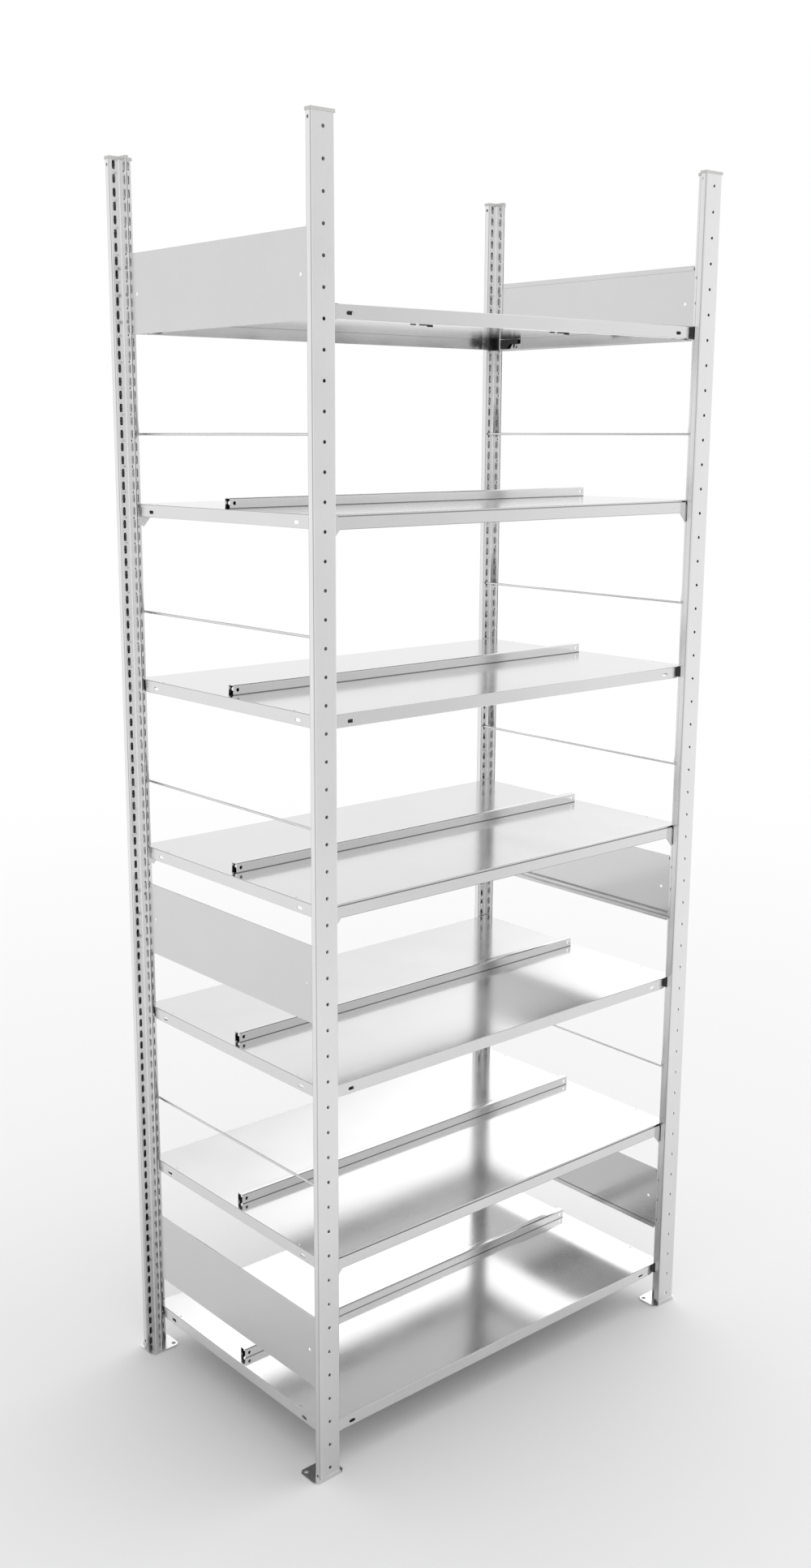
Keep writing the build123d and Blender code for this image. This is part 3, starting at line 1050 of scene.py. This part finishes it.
def rail_clips(shelf):
    """The clips that hold a rail, where they show below the sheet, shelf top at height 0."""
    top = -shelf.sheet
    low = top - RAIL_CLIP.drop
    start, end = -RAIL_CLIP.half, RAIL_CLIP.half
    tab_end = start + RAIL_CLIP.short
    tab = [(start, top), (tab_end, top), (tab_end, low), (start, low)]
    hook = [
        (tab_end + RAIL_CLIP.gap, top), (end, top),
        (end, top - RAIL_CLIP.latch_drop), (end - RAIL_CLIP.short, top - RAIL_CLIP.latch_drop),
        (end - RAIL_CLIP.short, low), (tab_end + RAIL_CLIP.gap, low),
    ]
    wall = RAIL_CLIP.wall
    return joined([
        slab("rail_clip", [(middle + x, -wall / 2, z) for x, z in outline], wall / 6, y=wall)
        for middle in (-RAIL_CLIP.pitch, 0, RAIL_CLIP.pitch) for outline in (tab, hook)
    ], "rail_clips_pattern")


def rail_painted_shade(unit, rail):
    """Painted shade on a rail: a painted shadow at its foot and dark lines along its upper bends."""
    bend, side = rail.bend, rail.width / 2 - 0.6 * rail.bend

    def painted_shade(s, where):
        _, y, z = above_shelf(s, where, unit)
        high = within(z, rail.height - 0.7 * bend, rail.height - 0.1 * bend)
        # painted shadow at the foot and painted shade along the upper bends
        return (z < 0.5 * bend) * PAINTED_SHADE_FOOT + high * (abs(y) > side) * PAINTED_SHADE_BEND

    return painted_shade


class SHELVING_OT_rails(bpy.types.Operator):
    """Build the stop rails along the middle of the shelves"""
    bl_idname = "shelving.rails"
    bl_label = "Stop rails"

    def execute(self, context):
        s = own(context)
        unit, rail = s.unit, s.rail
        half = rail.width / 2
        line = [(-half, 0.0), (-half, rail.height), (half, rail.height), (half, 0.0)]
        pattern = drawn("rail_pattern", [(-rail.run / 2, y, z) for y, z in line])
        with editing(pattern):
            drag(x=rail.run)
            pick("EDGE", lambda co: near(co.z, rail.height), runs_along(0))
            round_edges(rail.bend, 4)
        thicken(pattern, rail.wall, lambda face: face.center.z, (0, 0, 1))
        hole_x = rail.run / 2 - rail.hole_inset
        places = [(x, 0, rail.hole_height) for x in (-hole_x, hole_x)]
        cut(pattern, [drill(place, "Y", rail.hole, 2 * rail.width) for place in places])
        clips = smooth(rail_clips(s.shelf))
        folds = rail_painted_shade(unit, rail)
        metal = steel("rail_steel", s.finish.rail, s.finish.steel_roughness, (0.05, 1, 1), folds)
        # the clips are real parts; their black plastic also stands in for the shade under the shelf
        moulded = plastic("rail_clip_plastic", s.finish.clip, s.finish.clip_roughness)
        smooth(pattern)
        count = unit.shelf_count
        on_shelves(pattern, unit, range(count - 1), "rail_%d", [metal], "rail_steel", "stop_rail_%d")
        on_shelves(clips, unit, range(count), "rail_clips_%d", [moulded], "clip_plastic")
        drop(clips, pattern)
        return {"FINISHED"}


# Ends

def panel_pattern(unit, post, end):
    """The left end panel about its own middle, its outer face at x 0 minus half the sheet."""
    half_run = unit.frame_depth / 2 - post.section_depth - PANEL.gap
    half_height = end.panel_height / 2
    x = -end.panel_sheet / 2
    reach = half_run + PANEL.gap + PANEL.tongue
    step = half_height - PANEL.step
    quarter = [(half_run, half_height), (half_run, step), (reach, step)]
    line = mirrored(quarter + [(y, -z) for y, z in reversed(quarter)])
    piece = drawn("panel_pattern", [(x, y, z) for y, z in line], True)
    with editing(piece):
        pick("VERT", lambda co: near(abs(co.y), reach))
        bpy.ops.mesh.bevel(offset=PANEL.corner, segments=4, affect="VERTICES")
        for side in (-1, 1):
            pick("EDGE", lambda co: near(co.z, side * half_height))
            drag(x=PANEL.hem_width)
            drag(z=-side * PANEL.hem_height)
        for place in (x, x + PANEL.hem_width):
            pick("EDGE", lambda co: near(abs(co.z), half_height) and near(co.x, place))
            round_edges(PANEL.hem_bend)
    thicken(piece, end.panel_sheet, lambda face: face.area, (-1, 0, 0))
    hole_y = unit.frame_depth / 2 - PANEL.hole_inset
    cut(piece, [drill((0, y, 0), "X", end.panel_hole, 12 * end.panel_sheet) for y in (-hole_y, hole_y)])
    return smooth(piece)


def rod_pattern(unit, post, end):
    """The left end rod with its two hook plates, rod axis at height 0."""
    wall_in = unit.frame_depth / 2 - post.flange_depth
    tip = wall_in + PLATE.hook
    rod_x = post.slot_offset + (PLATE.wall + end.rod) / 2
    rod = bar((rod_x, 0, 0), "Y", end.rod, 2 * (wall_in - PLATE.gap), 20, end.rod / 8)
    low = -post.slot_height / 2
    high = low + PLATE.spread
    line = [
        (tip, low), (wall_in - PLATE.foot, low), (wall_in - PLATE.foot, -PLATE.below),
        (wall_in - PLATE.reach, -PLATE.below), (wall_in - PLATE.reach, end.rod / 2),
        (wall_in - PLATE.top, high + PLATE.nose), (tip, high + PLATE.nose), (tip, high),
        (wall_in, high), (wall_in, low + PLATE.nose), (tip, low + PLATE.nose),
    ]
    x = post.slot_offset - PLATE.wall / 2
    plates = [
        slab("rod_plate", [(x, side * y, z) for y, z in line], PLATE.wall / 6, x=PLATE.wall)
        for side in (-1, 1)
    ]
    return smooth(joined([rod, *plates], "rod_pattern"))


def pin_pattern(unit, post, end):
    """The six cross pins of one panel, about the panel's middle."""
    y = unit.frame_depth / 2 - post.section_depth + PIN.inset
    run = post.stem_width + 2 * PIN.head
    return smooth(joined([
        bar((0, side * y, step * end.pin_pitch), "X", end.pin, run, rim=PIN.head / 2)
        for side in (-1, 1) for step in (-1, 0, 1)
    ], "pin_pattern"))


class SHELVING_OT_ends(bpy.types.Operator):
    """Build the end panels and the end rods"""
    bl_idname = "shelving.ends"
    bl_label = "End panels and rods"

    def execute(self, context):
        s = own(context)
        unit, post, end = s.unit, s.post, s.end
        panel, rod, pins = [make(unit, post, end) for make in (panel_pattern, rod_pattern, pin_pattern)]
        sheet = steel("panel_steel", s.finish.panel, s.finish.steel_roughness, (1, 0.2, 1))
        wire = steel("rod_steel", s.finish.rod, s.finish.steel_roughness, (1, 0.1, 1))
        dark = steel("pin_steel", s.finish.pin, s.finish.steel_roughness)
        for side, x_side in (("left", -1), ("right", 1)):
            spot = {"x": x_side * unit.grid_width / 2, "turn": x_side > 0}
            for place in ("low", "middle", "top"):
                here = side + "_" + place
                low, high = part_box("end_panel_" + here)
                spot["z"] = (low.z + high.z) / 2
                placed(panel, "side_" + here, ROOT_BODY, sheet, "panel_steel", "end_panel_" + here, **spot)
                placed(pins, "pins_" + here, ROOT_BODY, dark, "rod_steel", x=spot["x"], z=spot["z"])
            for level in range(1, unit.shelf_count - 1):
                here = "rod_%s_%d" % (side, level + 1)
                spot["z"] = shelf_top(unit, level) + end.rod_rise
                placed(rod, here, ROOT_BODY, wire, "rod_steel", "end_" + here, **spot)
        drop(panel, rod, pins)
        return {"FINISHED"}


# The stage

def backdrop(s, look, heading):
    """How bright the backdrop is in a direction: a little less to the left and right of the camera."""
    away = (math.sin(look.camera_turn), math.cos(look.camera_turn), 0.0)
    ahead = s.vector("DOT_PRODUCT", heading, away)
    bright = s.rise(ahead, DIM_TO, DIM_FROM) + s.rise(ahead * -1, BACK_FROM, BACK_TO)
    return bright * (look.backdrop - look.front) + look.front


def floor_material(look):
    """A pale floor that fades to the backdrop away from the unit."""
    s = Shader(bpy.data.materials.new("studio_floor"))
    where = s.where()
    heading = s.vector("NORMALIZE", where, output="Vector")
    plain = s.node("BsdfDiffuse", {"Color": (*look.floor_near, 1.0)})
    white = s.node("Emission", {"Strength": backdrop(s, look, heading)})
    fade = s.rise(s.vector("LENGTH", where), look.floor_fade, look.floor_end)
    return s.finish(s.node("MixShader", {"Fac": fade, 1: plain, 2: white}))


def studio(look):
    """A white backdrop with a round softbox above the unit."""
    s = Shader(bpy.data.worlds.new("studio"), "OutputWorld")
    heading = s.where("Generated")
    turn, rise = look.softbox_turn, look.softbox_rise
    lamp = (math.sin(turn) * math.cos(rise), math.cos(turn) * math.cos(rise), math.sin(rise))
    aligned = s.vector("DOT_PRODUCT", heading, lamp)
    glow = s.rise(aligned, math.cos(look.softbox_fade), math.cos(look.softbox_size))
    light = glow * (look.softbox - look.backdrop) + backdrop(s, look, heading)
    return s.finish(s.node("Background", {"Color": (1, 1, 1, 1), "Strength": light}))


class SHELVING_OT_stage(bpy.types.Operator):
    """Build the floor, the light and the camera"""
    bl_idname = "shelving.stage"
    bl_label = "Stage"

    def execute(self, context):
        look = own(context).stage
        scene = context.scene
        deselect()
        bpy.ops.mesh.primitive_plane_add(size=FLOOR_SIZE, location=(0, 0, 0))
        floor = bpy.context.object
        floor.name = "floor"
        coat(floor, floor_material(look))
        scene.world = studio(look)

        sight = bpy.data.cameras.new("camera")
        sight.sensor_fit = "VERTICAL"
        sight.sensor_height = SENSOR_HEIGHT
        sight.lens = look.focal * SENSOR_HEIGHT
        sight.shift_x = (PICTURE_WIDTH / 2 - PRINCIPAL_POINT[0]) / PICTURE_HEIGHT
        sight.shift_y = (PRINCIPAL_POINT[1] - PICTURE_HEIGHT / 2) / PICTURE_HEIGHT
        camera = bpy.data.objects.new("camera", sight)
        scene.collection.objects.link(camera)
        camera.location = look.camera_place
        camera.rotation_euler = (math.pi / 2 - look.camera_tilt, 0, -look.camera_turn)
        scene.camera = camera
        scene.view_settings.view_transform = "Standard"
        return {"FINISHED"}


class SHELVING_PT_panel(bpy.types.Panel):
    """Lists the sizes, the finishes and the pieces."""
    bl_idname = "SHELVING_PT_panel"
    bl_label = "Shelving unit"
    bl_space_type = "VIEW_3D"
    bl_region_type = "UI"
    bl_category = "Shelving"

    def draw(self, context):
        s = own(context)
        for group in (s.unit, s.post, s.shelf, s.beam, s.rail, s.end, s.finish, s.stage):
            box = self.layout.box()
            for key in group.__annotations__:
                box.prop(group, key)
        for step in STEPS:
            self.layout.operator(step.bl_idname)


STEPS = (
    SHELVING_OT_posts,
    SHELVING_OT_caps,
    SHELVING_OT_shelves,
    SHELVING_OT_beams,
    SHELVING_OT_clips,
    SHELVING_OT_rails,
    SHELVING_OT_ends,
    SHELVING_OT_stage,
)
CLASSES = (
    UnitSizes, PostSizes, ShelfSizes, BeamSizes, RailSizes, EndSizes, Finishes, StageLook, Shelving,
    *STEPS, SHELVING_PT_panel,
)


def register():
    for item in CLASSES:
        bpy.utils.register_class(item)
    bpy.types.Scene.shelving = PointerProperty(type=Shelving)


def unregister():
    del bpy.types.Scene.shelving
    for item in reversed(CLASSES):
        bpy.utils.unregister_class(item)


def main():
    register()
    bpy.ops.shelving.posts()
    bpy.ops.shelving.caps()
    bpy.ops.shelving.shelves()
    bpy.ops.shelving.beams()
    bpy.ops.shelving.clips()
    bpy.ops.shelving.rails()
    bpy.ops.shelving.ends()
    bpy.ops.shelving.stage()
    deselect()


if __name__ == "__main__":
    main()
